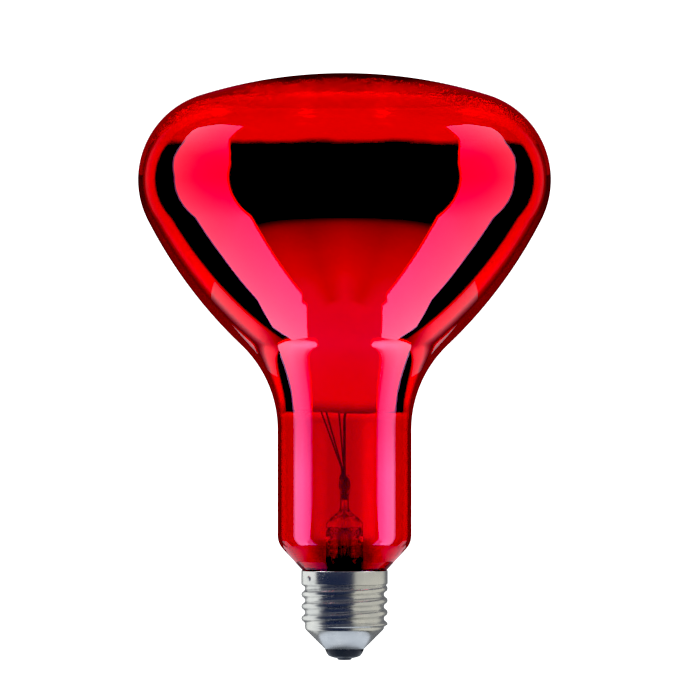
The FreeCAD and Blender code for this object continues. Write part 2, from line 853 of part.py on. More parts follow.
def cement_ring():
    """The cement between the taper of the neck and the inside of the collar, before the side lead."""
    outer = collar_inner - size["seat_gap"]
    top = cap_z - size["cement_recess"]
    corners = [
        (outer, collar_z),
        (outer, top),
        (mouth - size["cement_recess"] / taper_slope, top),
        bend_start(0),
        (seal, bend_z, size["seal_bend"], "left"),
        (seal, collar_z),
    ]
    return revolved("cement_ring", corners)


# the contact disc is a shallow dome: its two faces are arcs about one centre

contact_edge = size["contact_diameter"] / 2
dome_curve = worked(
    "contact_curve",
    (contact_edge * contact_edge + size["contact_rise"] * size["contact_rise"]) / (2 * size["contact_rise"]),
)
dome_centre = worked("contact_centre", size["solder_height"] + dome_curve)
inner_curve = worked("contact_inner_curve", dome_curve - size["contact_thickness"])
inner_edge = worked("contact_inner_edge", contact_edge * inner_curve / dome_curve)


def on_disc(curve, radius):
    return dome_centre - root(curve * curve - radius * radius)


inner_edge_z = worked("contact_inner_edge_z", on_disc(inner_curve, inner_edge))


def cap_insulator():
    """The black glass that fills the cone and holds the contact disc in its underside."""
    bore = size["insulator_bore"] / 2
    slope = sine(size["cone_angle"]) / cosine(size["cone_angle"])
    gap = (size["cap_wall"] + size["seat_gap"]) / cosine(size["cone_angle"])
    corners = [
        (bore, insulator_z),
        (cone_end - gap + size["insulator_depth"] * slope, insulator_z),
        (cone_end - gap, cone_end_z),
        (size["insulator_diameter"] / 2, cone_end_z),
        (contact_edge + size["insulator_lip"], contact_edge_z, size["insulator_bulge"], "right"),
        (contact_edge, contact_edge_z),
        (inner_edge, inner_edge_z),
        (bore, on_disc(inner_curve, bore), inner_curve, "right"),
    ]
    return revolved("cap_insulator", corners)


def centre_contact():
    """The domed contact disc with its eyelet hole."""
    bore = size["contact_bore"] / 2
    corners = [
        (contact_edge, contact_edge_z),
        (bore, on_disc(dome_curve, bore), dome_curve, "right"),
        (bore, on_disc(inner_curve, bore)),
        (inner_edge, inner_edge_z, inner_curve, "left"),
    ]
    return revolved("centre_contact", corners)


def contact_solder():
    """The solder that closes the eyelet round the centre lead. Its flat is the contact face."""
    bore = size["contact_bore"] / 2
    spread = size["solder_diameter"] / 2
    wire = size["tail_diameter"] / 2
    neck_top = contact_edge_z + size["solder_neck"] - size["contact_rise"]
    corners = [
        (0, 0),
        (size["solder_flat"] / 2, 0),
        (spread, on_disc(dome_curve, spread), size["solder_edge"], "left"),
        (bore, on_disc(dome_curve, bore), dome_curve, "right"),
        (bore, neck_top),
        (wire, neck_top),
        (wire, size["centre_lead_end"]),
        (0, size["centre_lead_end"]),
    ]
    return revolved("contact_solder", corners)


def side_weld():
    """The small round weld on the outside of the collar where the side lead is joined to it."""
    angle = size["side_angle"]
    sink = size["collar_diameter"] / 2 + size["weld_rise"] - size["weld_radius"]
    dab = doc.addObject("Part::Sphere", "weld_dab")
    dab.setExpression("Radius", size["weld_radius"].text)
    place(dab, sink * cosine(angle), sink * sine(angle), collar_z + size["weld_height"])
    collar = doc.addObject("Part::Cylinder", "weld_seat")
    collar.setExpression("Radius", (size["collar_diameter"] / 2).text)
    collar.setExpression("Height", cap_z.text)
    return cut_from("side_weld", dab, [collar])


leads = inner_leads()
seals = seal_wires()
tails = [centre_lead(), side_lead()]
supports = support_wires()
pieces = [
    glass_envelope(),
    reflector_film(),
    cut_from("stem", stem_glass(), leads + seals + tails),
    exhaust_tube(),
    cut_from("arbor_bead", bead_glass(), supports),
    filament(),
    screw_shell(),
    cut_from("capping_cement", cement_ring(), [tails[1]]),
    cap_insulator(),
    centre_contact(),
    contact_solder(),
    side_weld(),
] + leads + seals + tails + supports
doc.recompute()

for item in doc.Objects:
    if "Invalid" in item.State or "Error" in item.State:
        raise RuntimeError(f"{item.Label} could not be built: {item.State}")
for piece in pieces:
    if piece.Shape.isNull() or not piece.Shape.isValid():
        raise RuntimeError(f"{piece.Label} has no valid shape")

os.makedirs("parts", exist_ok=True)
for piece in pieces:
    piece.Shape.exportStep(os.path.join("parts", piece.Label + ".step"))
    print(f"{piece.Label}: {len(piece.Shape.Solids)} solid, {piece.Shape.Volume:.2f} mm3")
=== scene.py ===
import math

import bpy
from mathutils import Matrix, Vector


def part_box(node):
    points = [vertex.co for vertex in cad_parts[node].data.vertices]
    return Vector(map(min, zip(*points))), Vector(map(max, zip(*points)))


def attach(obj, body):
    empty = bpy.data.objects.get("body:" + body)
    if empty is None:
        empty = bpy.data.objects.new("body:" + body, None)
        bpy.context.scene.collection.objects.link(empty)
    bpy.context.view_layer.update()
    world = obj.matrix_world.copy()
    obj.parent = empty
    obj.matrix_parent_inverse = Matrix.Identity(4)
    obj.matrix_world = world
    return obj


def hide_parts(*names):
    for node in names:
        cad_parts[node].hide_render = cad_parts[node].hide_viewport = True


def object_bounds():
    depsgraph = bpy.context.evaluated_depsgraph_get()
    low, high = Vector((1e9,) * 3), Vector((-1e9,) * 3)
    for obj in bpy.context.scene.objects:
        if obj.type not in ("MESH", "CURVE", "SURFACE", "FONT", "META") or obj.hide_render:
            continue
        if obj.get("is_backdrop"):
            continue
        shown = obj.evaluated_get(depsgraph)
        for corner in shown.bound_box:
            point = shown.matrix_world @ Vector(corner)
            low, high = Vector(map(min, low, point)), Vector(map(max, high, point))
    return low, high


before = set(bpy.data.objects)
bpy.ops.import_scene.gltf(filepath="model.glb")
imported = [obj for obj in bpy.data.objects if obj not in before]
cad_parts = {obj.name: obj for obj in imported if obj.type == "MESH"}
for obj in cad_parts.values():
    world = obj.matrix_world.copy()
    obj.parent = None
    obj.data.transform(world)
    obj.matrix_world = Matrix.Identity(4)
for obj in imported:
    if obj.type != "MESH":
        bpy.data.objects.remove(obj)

MM = 0.001
cad_low, cad_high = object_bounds()

# the bulb's outline: dome, rim, flank and throat are arcs that run into each other
OVERALL = 177.6
BULB = 62.5
DOME_RADIUS = 146.5
RIM_RADIUS = 26.8
FLANK_RADIUS = 139.5
THROAT_RADIUS = 35.5
THROAT_Z = 69.6
NECK = 20.25
HEEL_RADIUS = 6.0
TAPER = math.radians(42.5)
WALL = 1.0
HEEL_Z = 37.7
SEAL = 10.8
SEAL_BEND = 1.5
BEND_Z = 24.44

# the mirror film stands just off the glass
FILM_GAP = 0.08
FILM_THICKNESS = 0.1

# the screw cap
CONE_END = 6.0
CONE_END_Z = 3.42
SHOULDER_RADIUS = 1.2
THREAD_CREST = 13.075
THREAD_ROUNDING = 1.025
THREAD_PITCH = 3.629
THREAD_FIRST = 1.53
THREAD_BLEND = 0.9
COLLAR = 13.1
COLLAR_HEIGHT = 3.9
CAP_WALL = 0.3
CONE_ANGLE = math.radians(45)
THREAD_ROWS = 84
COLLAR_FOOT = 0.3
COLLAR_LIP = 0.15

# the stem
STEM = 5.6
STEM_WALL = 1.0
PRESS_HEIGHT = 9.0
PRESS_HALF_WIDTH = 5.0
PRESS_HALF_THICKNESS = 1.4
PRESS_FLAT_FROM = 0.56
TUBE_ROWS = 8
PRESS_ROWS = 16

# the bead
BEAD_BULGE = 1.0

# the coil
COIL_RING = 14.0
COIL_RADIUS = 0.85
COIL_WIRE = 0.13
COIL_LEG = 1.2
COIL_TURNS = 26
COIL_STEPS = 12
POSTS = 7
POST_STEP = 38.0

# points round each skin
ROUND = 224
ROUND_STEM = 96
ROUND_BEAD = 64
ROUND_SHELL = 160


def box_of(node):
    """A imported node's lowest and highest corners, in millimetres."""
    low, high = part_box(node)
    return [value / MM for value in low], [value / MM for value in high]


film_low, film_high = box_of("reflector_film")
envelope_low, _ = box_of("glass_envelope")
stem_low, stem_high = box_of("stem")
bead_low, bead_high = box_of("arbor_bead")
_, shell_high = box_of("screw_shell")
coil_low, coil_high = box_of("filament")

dome_z = OVERALL - DOME_RADIUS
rim_x = BULB - RIM_RADIUS
rim_z = dome_z + math.sqrt((DOME_RADIUS - RIM_RADIUS) ** 2 - rim_x ** 2)
throat_x = NECK + THROAT_RADIUS


def flank_centre():
    """The centre of the arc that touches the rim's arc from outside and the throat's arc from within."""
    to_rim = FLANK_RADIUS - RIM_RADIUS
    to_throat = FLANK_RADIUS + THROAT_RADIUS
    across = throat_x - rim_x
    down = THROAT_Z - rim_z
    apart = math.hypot(across, down)
    along = (to_rim ** 2 - to_throat ** 2 + apart ** 2) / (2 * apart)
    aside = math.sqrt(to_rim ** 2 - along ** 2)
    return (
        rim_x + (along * across + aside * down) / apart,
        rim_z + (along * down - aside * across) / apart,
    )


flank_x, flank_z = flank_centre()


# meshes


def arc(x, z, radius, start, stop, step=1.5):
    """Points along an arc between two angles in degrees, both ends included."""
    count = max(2, math.ceil(abs(stop - start) / step))
    points = []
    for index in range(count + 1):
        angle = math.radians(start + (stop - start) * index / count)
        points.append((x + radius * math.cos(angle), z + radius * math.sin(angle)))
    return points


def joined(*runs):
    """Runs of points end to end, with no point twice."""
    points = []
    for run in runs:
        for point in run:
            if not points or math.dist(point, points[-1]) > 1e-6:
                points.append(point)
    return points


def spread(start, stop, count):
    """Evenly spaced points on a straight run."""
    return [
        (start[0] + (stop[0] - start[0]) * index / count, start[1] + (stop[1] - start[1]) * index / count)
        for index in range(count + 1)
    ]


def smooth_step(share):
    """From 0 to 1, eased at both ends."""
    share = min(max(share, 0), 1)
    return share * share * (3 - 2 * share)


def bulb_outline(depth):
    """The bulb's section from the top of the dome down to the mouth of the neck, at a depth in the glass."""
    dome_rim = math.degrees(math.atan2(rim_z - dome_z, rim_x))
    rim_flank = math.degrees(math.atan2(rim_z - flank_z, rim_x - flank_x))
    flank_throat = math.degrees(math.atan2(THROAT_Z - flank_z, throat_x - flank_x))
    taper = math.degrees(TAPER)
    heel_x = NECK - HEEL_RADIUS
    return joined(
        arc(0, dome_z, DOME_RADIUS - depth, 90, dome_rim, 0.5),
        arc(rim_x, rim_z, RIM_RADIUS - depth, dome_rim, rim_flank),
        arc(flank_x, flank_z, FLANK_RADIUS - depth, rim_flank, flank_throat, 0.6),
        arc(throat_x, THROAT_Z, THROAT_RADIUS + depth, flank_throat + 180, 180),
        spread((NECK - depth, THROAT_Z), (NECK - depth, HEEL_Z), 8),
        arc(heel_x, HEEL_Z, HEEL_RADIUS - depth, 0, -taper, 4),
        arc(SEAL + SEAL_BEND, BEND_Z, SEAL_BEND + depth, 180 - taper, 180, 8),
        [(SEAL - depth, envelope_low[2])],
    )


def between(outline, low, high):
    """The part of an outline between two heights, cut to both."""
    kept = []
    for start, stop in zip(outline, outline[1:]):
        for height in (high, low):
            if start[1] > height > stop[1]:
                share = (start[1] - height) / (start[1] - stop[1])
                kept.append((start[0] + (stop[0] - start[0]) * share, height))
        if low <= stop[1] <= high:
            kept.append(stop)
    return joined(sorted(set(kept), key=lambda point: -point[1]))


def mesh_object(name, points, faces, smooth=True):
    """A mesh from points in millimetres."""
    mesh = bpy.data.meshes.new(name)
    mesh.from_pydata([(x * MM, y * MM, z * MM) for x, y, z in points], [], faces)
    mesh.validate()
    if smooth:
        mesh.shade_smooth()
    thing = bpy.data.objects.new(name, mesh)
    bpy.context.scene.collection.objects.link(thing)
    return thing


def turned(name, outline, count=ROUND, closed=False):
    """A skin turned from an outline of (radius, height) points. Points on the axis become poles."""
    points = []
    rows = []
    for radius, height in outline:
        if radius < 1e-6:
            rows.append([len(points)] * count)
            points.append((0, 0, height))
            continue
        row = []
        for step in range(count):
            angle = 2 * math.pi * step / count
            row.append(len(points))
            points.append((radius * math.cos(angle), radius * math.sin(angle), height))
        rows.append(row)
    return skinned(name, points, rows, closed)


def band(upper, lower):
    """Faces between two rows of points that go round. A row that is one point many times is a pole."""
    faces = []
    for step in range(len(upper)):
        after = (step + 1) % len(upper)
        corners = []
        for corner in (upper[step], lower[step], lower[after], upper[after]):
            if corner not in corners:
                corners.append(corner)
        if len(corners) > 2:
            faces.append(corners)
    return faces


def skinned(name, points, rows, closed, filled=False):
    """A skin over rows of points. closed joins the last row to the first, and filled caps both."""
    faces = []
    for upper, lower in zip(rows, rows[1:]):
        faces += band(upper, lower)
    if closed:
        faces += band(rows[-1], rows[0])
    if filled:
        faces += [rows[0][::-1], rows[-1]]
    return mesh_object(name, points, faces)


def ringed(name, rings, closed=False, filled=False):
    """A skin over rings of points, each with as many points as the first."""
    points = [point for ring in rings for point in ring]
    count = len(rings[0])
    rows = [list(range(start, start + count)) for start in range(0, len(points), count)]
    return skinned(name, points, rows, closed, filled)


# materials


def maths(nodes, links, operation, *values):
    """A Math node's result. Each value is a number or a socket."""
    node = nodes.new("ShaderNodeMath")
    node.operation = operation
    for socket, value in zip(node.inputs, values):
        if isinstance(value, (int, float)):
            socket.default_value = value
        else:
            links.new(value, socket)
    return node.outputs["Value"]


class Recipe:
    """One procedural material: a Principled shader with noise laid out in the lamp's own space."""

    def __init__(self, name):
        self.material = bpy.data.materials.new(name)
        self.material.use_nodes = True
        self.nodes = self.material.node_tree.nodes
        self.links = self.material.node_tree.links
        self.shader = self.nodes["Principled BSDF"]
        self.output = self.nodes["Material Output"]
        self.place = self.nodes.new("ShaderNodeTexCoord").outputs["Object"]

    def set(self, **values):
        for socket, value in values.items():
            self.shader.inputs[socket.replace("_", " ")].default_value = value

    def noise(self, size_mm, detail=3.0, rough=0.5, stretch=(1, 1, 1)):
        mapping = self.nodes.new("ShaderNodeMapping")
        mapping.inputs["Scale"].default_value = stretch
        self.links.new(self.place, mapping.inputs["Vector"])
        texture = self.nodes.new("ShaderNodeTexNoise")
        texture.inputs["Scale"].default_value = 1 / (size_mm * MM)
        texture.inputs["Detail"].default_value = detail
        texture.inputs["Roughness"].default_value = rough
        self.links.new(mapping.outputs["Vector"], texture.inputs["Vector"])
        return texture.outputs["Fac"]

    def ranged(self, source, low, high, start=0.3, stop=0.7, smooth=False):
        node = self.nodes.new("ShaderNodeMapRange")
        if smooth:
            node.interpolation_type = "SMOOTHSTEP"
        node.inputs["From Min"].default_value = start
        node.inputs["From Max"].default_value = stop
        node.inputs["To Min"].default_value = low
        node.inputs["To Max"].default_value = high
        self.links.new(source, node.inputs["Value"])
        return node.outputs["Result"]

    def rises(self, source, start_mm, stop_mm):
        """From 0 to 1 between two places in millimetres, eased at both."""
        return self.ranged(source, 0, 1, start_mm * MM, stop_mm * MM, True)

    def falls(self, source, start_mm, stop_mm):
        """From 1 to 0 between two places in millimetres, eased at both."""
        return self.ranged(source, 1, 0, start_mm * MM, stop_mm * MM, True)

    def wandering(self, source, size_mm, reach_mm):
        """A place in millimetres that noise moves either way, so that an edge drawn by it isn't straight."""
        shift = self.ranged(self.noise(size_mm, 2.0), -reach_mm * MM, reach_mm * MM)
        return self.maths("ADD", source, shift)

    def maths(self, operation, *values):
        return maths(self.nodes, self.links, operation, *values)

    def colours(self, source, first, second):
        """From one set colour to another."""
        node = self.nodes.new("ShaderNodeMix")
        node.data_type = "RGBA"
        self.links.new(source, node.inputs["Factor"])
        node.inputs["A"].default_value = (*first, 1)
        node.inputs["B"].default_value = (*second, 1)
        return node.outputs["Result"]

    def mixed(self, source, first, second):
        """From one colour socket to another."""
        node = self.nodes.new("ShaderNodeMix")
        node.data_type = "RGBA"
        for socket, value in (("Factor", source), ("A", first), ("B", second)):
            self.links.new(value, node.inputs[socket])
        return node.outputs["Result"]

    def along(self, axis):
        node = self.nodes.new("ShaderNodeSeparateXYZ")
        self.links.new(self.place, node.inputs["Vector"])
        return node.outputs[axis]

    def height(self):
        return self.along("Z")

    def feed(self, socket, source):
        self.links.new(source, self.shader.inputs[socket])

    def bump(self, source, depth_mm, strength=1.0):
        node = self.nodes.new("ShaderNodeBump")
        node.inputs["Strength"].default_value = strength
        node.inputs["Distance"].default_value = depth_mm * MM
        self.links.new(source, node.inputs["Height"])
        self.links.new(node.outputs["Normal"], self.shader.inputs["Normal"])


def red_glass():
    """Hard glass dyed red right through, with the faint waves of a blown wall. The neck is a darker
    red, most of all a little left of its middle: painted shade."""
    recipe = Recipe("red_glass")
    recipe.set(IOR=1.5, Transmission_Weight=1.0, Roughness=0.0, Specular_Tint=(1.0, 0.28, 1.0, 1.0))
    streaks = recipe.noise(30, 2.0, stretch=(1, 1, 0.4))
    thin = recipe.colours(recipe.ranged(streaks, 0, 1), (0.985, 0.012, 0.015), (0.975, 0.010, 0.012))
    # painted shade: the neck's glass is a darker red, darkest a little left of its middle
    neck = recipe.falls(recipe.height(), 72, 77)
    left = recipe.rises(recipe.along("X"), -13, -8)
    right = recipe.falls(recipe.along("X"), 1, 9)
    middle = recipe.maths("MULTIPLY", left, right)
    deep = recipe.colours(middle, (0.70, 0.005, 0.007), (0.57, 0.004, 0.006))
    # painted shadow: the inside of the heel is darker in front of and behind the stem
    reach = recipe.maths("ABSOLUTE", recipe.along("X"))
    cloud = recipe.ranged(recipe.noise(6, 2.0), -2.0 * MM, 2.0 * MM)
    low = recipe.falls(recipe.maths("ADD", recipe.height(), cloud), 34, 39)
    close = recipe.falls(recipe.maths("ADD", reach, cloud), 6, 12)
    patches = recipe.ranged(recipe.noise(4, 2.0), 0, 1)
    shadow = recipe.colours(patches, (0.30, 0.002, 0.003), (0.44, 0.004, 0.005))
    dark = recipe.maths("MULTIPLY", low, close)
    recipe.feed("Base Color", recipe.mixed(dark, recipe.mixed(neck, thin, deep), shadow))
    recipe.bump(recipe.noise(24, 1.0), 0.003)
    soak = recipe.nodes.new("ShaderNodeVolumeAbsorption")
    soak.inputs["Color"].default_value = (0.9, 0.0, 0.0, 1)
    soak.inputs["Density"].default_value = 350.0
    recipe.links.new(soak.outputs["Volume"], recipe.output.inputs["Volume"])
    return recipe.material


def mirror_film():
    """Bright metal laid on the glass by vapour, thinning out at both edges."""
    recipe = Recipe("mirror_film")
    recipe.set(Metallic=1.0)
    haze = recipe.noise(9, 3.0)
    bright = recipe.colours(recipe.ranged(haze, 0, 1), (0.93, 0.92, 0.91), (0.88, 0.87, 0.86))
    recipe.feed("Roughness", recipe.ranged(haze, 0.015, 0.04))
    height = recipe.wandering(recipe.height(), 16, 0.6)
    bottom = film_low[2]
    top = film_high[2]
    # painted shade: the film is darker towards its lower edge
    painted_edge_shade = recipe.falls(height, bottom + 0.5, bottom + 4.5)
    edge_shade_colour = recipe.colours(recipe.ranged(haze, 0, 1), (0.42, 0.40, 0.40), (0.22, 0.21, 0.21))
    recipe.feed("Base Color", recipe.mixed(painted_edge_shade, bright, edge_shade_colour))
    rise = recipe.rises(height, bottom, bottom + 1.2)
    fall = recipe.falls(height, top - 4.2, top - 1.8)
    recipe.feed("Alpha", recipe.maths("MULTIPLY", rise, fall))
    return recipe.material


def plain(name, first, second, metallic, rough, grain_mm, bump_mm):
    """A material whose colour, roughness and surface all vary with one grain."""
    recipe = Recipe(name)
    recipe.set(Metallic=metallic)
    patches = recipe.noise(grain_mm * 4, 3.0)
    recipe.feed("Base Color", recipe.colours(recipe.ranged(patches, 0, 1), first, second))
    recipe.feed("Roughness", recipe.ranged(recipe.noise(grain_mm * 2, 4.0, 0.6), rough[0], rough[1]))
    recipe.bump(recipe.noise(grain_mm, 4.0, 0.6), bump_mm)
    return recipe.material


def cap_metal():
    """Plated sheet, rolled: fine lines run round the cap, over cloudy patches."""
    recipe = Recipe("cap_metal")
    recipe.set(Metallic=1.0)
    lines = recipe.noise(0.9, 5.0, 0.65, stretch=(0.12, 0.12, 3.0))
    cloud = recipe.noise(6, 3.0)
    plating = recipe.colours(recipe.ranged(cloud, 0, 1), (0.80, 0.80, 0.79), (0.68, 0.69, 0.70))
    recipe.feed("Base Color", plating)
    recipe.feed("Roughness", recipe.ranged(recipe.maths("ADD", lines, cloud), 0.22, 0.36, 0.7, 1.3))
    recipe.bump(lines, 0.006, 0.6)
    return recipe.material


def clear_glass():
    """Lead glass, clear at the bead and darker towards the seal in the cap: painted shade at the stem's
    lower end.
    """
    recipe = Recipe("clear_glass")
    recipe.set(IOR=1.52, Transmission_Weight=1.0)
    tints = recipe.ranged(recipe.noise(12, 3.0), 0, 1)
    clear = recipe.colours(tints, (0.95, 0.97, 0.96), (0.91, 0.94, 0.93))
    # painted shade: the glass darkens towards the seal in the cap
    painted_shade_low = recipe.falls(recipe.wandering(recipe.height(), 7, 1.5), 33, 43)
    clouds = recipe.ranged(recipe.noise(5, 3.0), 0, 1)
    painted_stem_shade = recipe.colours(clouds, (0.78, 0.70, 0.68), (0.62, 0.54, 0.52))
    recipe.feed("Base Color", recipe.mixed(painted_shade_low, clear, painted_stem_shade))
    recipe.feed("Roughness", recipe.ranged(recipe.noise(6, 4.0, 0.6), 0.0, 0.03))
    recipe.bump(recipe.noise(3, 4.0, 0.6), 0.01)
    return recipe.material


def solder_metal():
    """Tin solder, bright on the collar and near-black low down on the contact: painted shade."""
    recipe = Recipe("solder")
    recipe.set(Metallic=1.0)
    patches = recipe.ranged(recipe.noise(3.2, 3.0), 0, 1)
    bright = recipe.colours(patches, (0.82, 0.82, 0.83), (0.70, 0.70, 0.72))
    # painted shade: the solder is near-black low down, on the contact
    painted_shade_solder = recipe.colours(patches, (0.16, 0.16, 0.18), (0.08, 0.08, 0.09))
    above_cone = recipe.ranged(recipe.height(), 0, 1, 5 * MM, 15 * MM)
    recipe.feed("Base Color", recipe.mixed(above_cone, painted_shade_solder, bright))
    recipe.feed("Roughness", recipe.ranged(recipe.noise(1.6, 4.0, 0.6), 0.25, 0.5))
    recipe.bump(recipe.noise(0.8, 4.0, 0.6), 0.05)
    return recipe.material


# slot: first colour, second colour, metallic, roughness from and to, grain and bump in millimetres.
# The leads and the supports are dull and dark from the coil's heat.
PLAIN = {
    "tungsten": ((0.36, 0.35, 0.34), (0.22, 0.21, 0.21), 1.0, (0.35, 0.55), 0.3, 0.01),
    # painted shade: the cement's dark brown, in the cap's mouth seen through the neck
    "cement": ((0.14, 0.12, 0.10), (0.09, 0.07, 0.06), 0.0, (0.8, 0.95), 0.5, 0.08),
    "black_glass": ((0.008, 0.009, 0.013), (0.015, 0.015, 0.02), 0.0, (0.12, 0.3), 1.2, 0.02),
    # painted shade: the contact's near-black colour
    "contact_metal": ((0.07, 0.07, 0.08), (0.04, 0.04, 0.045), 1.0, (0.35, 0.5), 0.6, 0.01),
    "nickel": ((0.10, 0.09, 0.09), (0.05, 0.045, 0.045), 1.0, (0.35, 0.5), 0.4, 0.005),
    "dumet": ((0.55, 0.25, 0.16), (0.42, 0.16, 0.1), 1.0, (0.3, 0.45), 0.4, 0.005),
    "copper": ((0.80, 0.45, 0.30), (0.62, 0.32, 0.2), 1.0, (0.25, 0.45), 0.4, 0.005),
    "molybdenum": ((0.12, 0.12, 0.13), (0.06, 0.06, 0.065), 1.0, (0.35, 0.5), 0.4, 0.005),
}
materials = {
    "red_glass": red_glass(),
    "mirror_film": mirror_film(),
    "clear_glass": clear_glass(),
    "cap_metal": cap_metal(),
    "solder": solder_metal(),
}
for slot, values in PLAIN.items():
    materials[slot] = plain(slot, *values)


def finished(piece, slot, *nodes):
    """Gives a new piece its material, hangs it on the root body and hides the imported nodes it stands for.
    """
    piece.data.materials.append(materials[slot])
    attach(piece, "root")
    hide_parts(*nodes)


# pieces of glass and mirror

outer = bulb_outline(0)
inner = bulb_outline(WALL)
bulb = turned("red_bulb", outer + inner[::-1])
finished(bulb, "red_glass", "glass_envelope")

film_out = between(bulb_outline(WALL + FILM_GAP), film_low[2], film_high[2])
film_in = between(bulb_outline(WALL + FILM_GAP + FILM_THICKNESS), film_low[2], film_high[2])
film = turned("mirror_skin", film_out + film_in[::-1], closed=True)
finished(film, "mirror_film", "reflector_film")


def oval(half_x, half_y, height, power_x=1.0, power_y=1.0):
    """A ring of the stem. Powers under 1 square it off."""
    ring = []
    for step in range(ROUND_STEM):
        angle = 2 * math.pi * step / ROUND_STEM
        across = math.cos(angle)
        deep = math.sin(angle)
        x = half_x * math.copysign(abs(across) ** power_x, across)
        y = half_y * math.copysign(abs(deep) ** power_y, deep)
        ring.append((x, y, height))
    return ring


def stem_rings():
    """The flared tube, drawn flat at its top, and back down its bore."""
    mouth = envelope_low[2]
    press_top = stem_high[2]
    press_z = press_top - PRESS_HEIGHT
    rim = SEAL
    flare = rim - WALL - STEM
    sections = [(rim, rim, stem_low[2]), (rim, rim, mouth)]
    sections += [(x, x, z) for x, z in arc(STEM + flare, mouth + flare, flare, 270, 180, 9)]
    for step in range(1, TUBE_ROWS + 1):
        height = mouth + flare + (press_z - mouth - flare) * step / TUBE_ROWS
        sections.append((STEM, STEM, height))
    for step in range(1, PRESS_ROWS + 1):
        share = step / PRESS_ROWS
        ease = smooth_step(share / PRESS_FLAT_FROM)
        half_x = STEM + (PRESS_HALF_THICKNESS - STEM) * ease
        half_y = STEM + (PRESS_HALF_WIDTH - STEM) * ease
        sections.append((half_x, half_y, press_z + PRESS_HEIGHT * share))
    bore = STEM - STEM_WALL
    bend = flare + STEM_WALL
    inside = [(bore, bore, press_z - STEM_WALL), (bore, bore, mouth + flare)]
    inside += [(x, x, z) for x, z in arc(bore + bend, mouth + flare, bend, 180, 270, 9)]
    rings = []
    for half_x, half_y, height in sections:
        flat = half_x / half_y
        rings.append(oval(half_x, half_y, height, 0.6 + 0.4 * flat, 0.8 + 0.2 * flat))
    rings.append([(0, 0, press_top)] * ROUND_STEM)
    rings.append([(0, 0, press_z - STEM_WALL)] * ROUND_STEM)
    rings += [oval(*section) for section in inside]
    return rings


def stem_piece():
    """The stem as one closed skin: outside, flat top, then the bore's floor and walls."""
    rings = stem_rings()
    seam = next(index for index, ring in enumerate(rings) if ring[0] == ring[1]) + 1
    points = []
    rows = []
    for ring in rings:
        if ring[0] == ring[1]:
            rows.append([len(points)] * len(ring))
            points.append(ring[0])
        else:
            rows.append(list(range(len(points), len(points) + len(ring))))
            points.extend(ring)
    # each face starts at its lower corner, which settles how it is split in two
    faces = []
    for run in (rows[:seam], rows[seam:], (rows[-1], rows[0])):
        for lower, upper in zip(run, run[1:]):
            faces += [face[1:] + face[:1] for face in band(upper, lower)]
    return mesh_object("stem_glass", points, faces)


stem = stem_piece()
finished(stem, "clear_glass", "stem")


def bead_outline():
    """The bead's barrel side between two small flats."""
    half = (bead_high[2] - bead_low[2]) / 2
    reach = bead_high[0]
    flat = reach - BEAD_BULGE
    bulge = ((reach - flat) ** 2 + half ** 2) / (2 * (reach - flat))
    tip = math.degrees(math.asin(half / bulge))
    middle = (bead_low[2] + bead_high[2]) / 2
    side = arc(reach - bulge, middle, bulge, tip, -tip, 6)
    return joined([(0, bead_high[2])], side, [(0, bead_low[2])])


bead = turned("bead_glass", bead_outline(), ROUND_BEAD)
finished(bead, "clear_glass", "arbor_bead")


# the cap


thread_step = THREAD_PITCH / 2
thread_depth = 2 * THREAD_ROUNDING - math.sqrt(4 * THREAD_ROUNDING ** 2 - thread_step ** 2)
thread_root = THREAD_CREST - thread_depth
collar_z = shell_high[2] - COLLAR_HEIGHT
shoulder_centre = thread_root - SHOULDER_RADIUS
shoulder_x = shoulder_centre + SHOULDER_RADIUS * math.cos(CONE_ANGLE)
shoulder_z = CONE_END_Z + (shoulder_x - CONE_END) / math.tan(CONE_ANGLE)
thread_z = shoulder_z + SHOULDER_RADIUS * math.sin(CONE_ANGLE)


def thread_radius(angle, height):
    """The rolled thread: crests and roots are arcs of one radius, fading out above and below."""
    turns = (height - collar_z + THREAD_FIRST) / THREAD_PITCH - angle / (2 * math.pi)
    from_crest = abs(turns - round(turns)) * THREAD_PITCH
    if from_crest <= THREAD_PITCH / 4:
        radius = THREAD_CREST - THREAD_ROUNDING + math.sqrt(THREAD_ROUNDING ** 2 - from_crest ** 2)
    else:
        from_root = THREAD_PITCH / 2 - from_crest
        radius = thread_root + THREAD_ROUNDING - math.sqrt(THREAD_ROUNDING ** 2 - from_root ** 2)
    upper = smooth_step((height - collar_z + THREAD_BLEND) / THREAD_BLEND)
    lower = smooth_step((height - thread_z) / THREAD_BLEND)
    radius = radius * (1 - upper) + COLLAR * upper
    return thread_root * (1 - lower) + radius * lower


def shell_rings(inset):
    """Rings of points up one skin of the cap. A station with no radius is on the thread."""
    stations = [(CONE_END - inset / math.cos(CONE_ANGLE), CONE_END_Z)]
    stations += arc(shoulder_centre, thread_z, SHOULDER_RADIUS - inset, -math.degrees(CONE_ANGLE), 0, 6)
    for row in range(1, THREAD_ROWS + 1):
        stations.append((None, thread_z + (collar_z - thread_z) * row / THREAD_ROWS))
    rim = shell_high[2]
    for height in (collar_z + COLLAR_FOOT, rim - COLLAR_LIP, rim):
        stations.append((COLLAR - inset, height))
    rings = []
    for radius, height in stations:
        ring = []
        for step in range(ROUND_SHELL):
            angle = 2 * math.pi * step / ROUND_SHELL
            reach = thread_radius(angle, height) - inset if radius is None else radius
            ring.append((reach * math.cos(angle), reach * math.sin(angle), height))
        rings.append(ring)
    return rings


shell = ringed("cap_shell", shell_rings(0) + shell_rings(CAP_WALL)[::-1], closed=True)
finished(shell, "cap_metal", "screw_shell")


# the coil


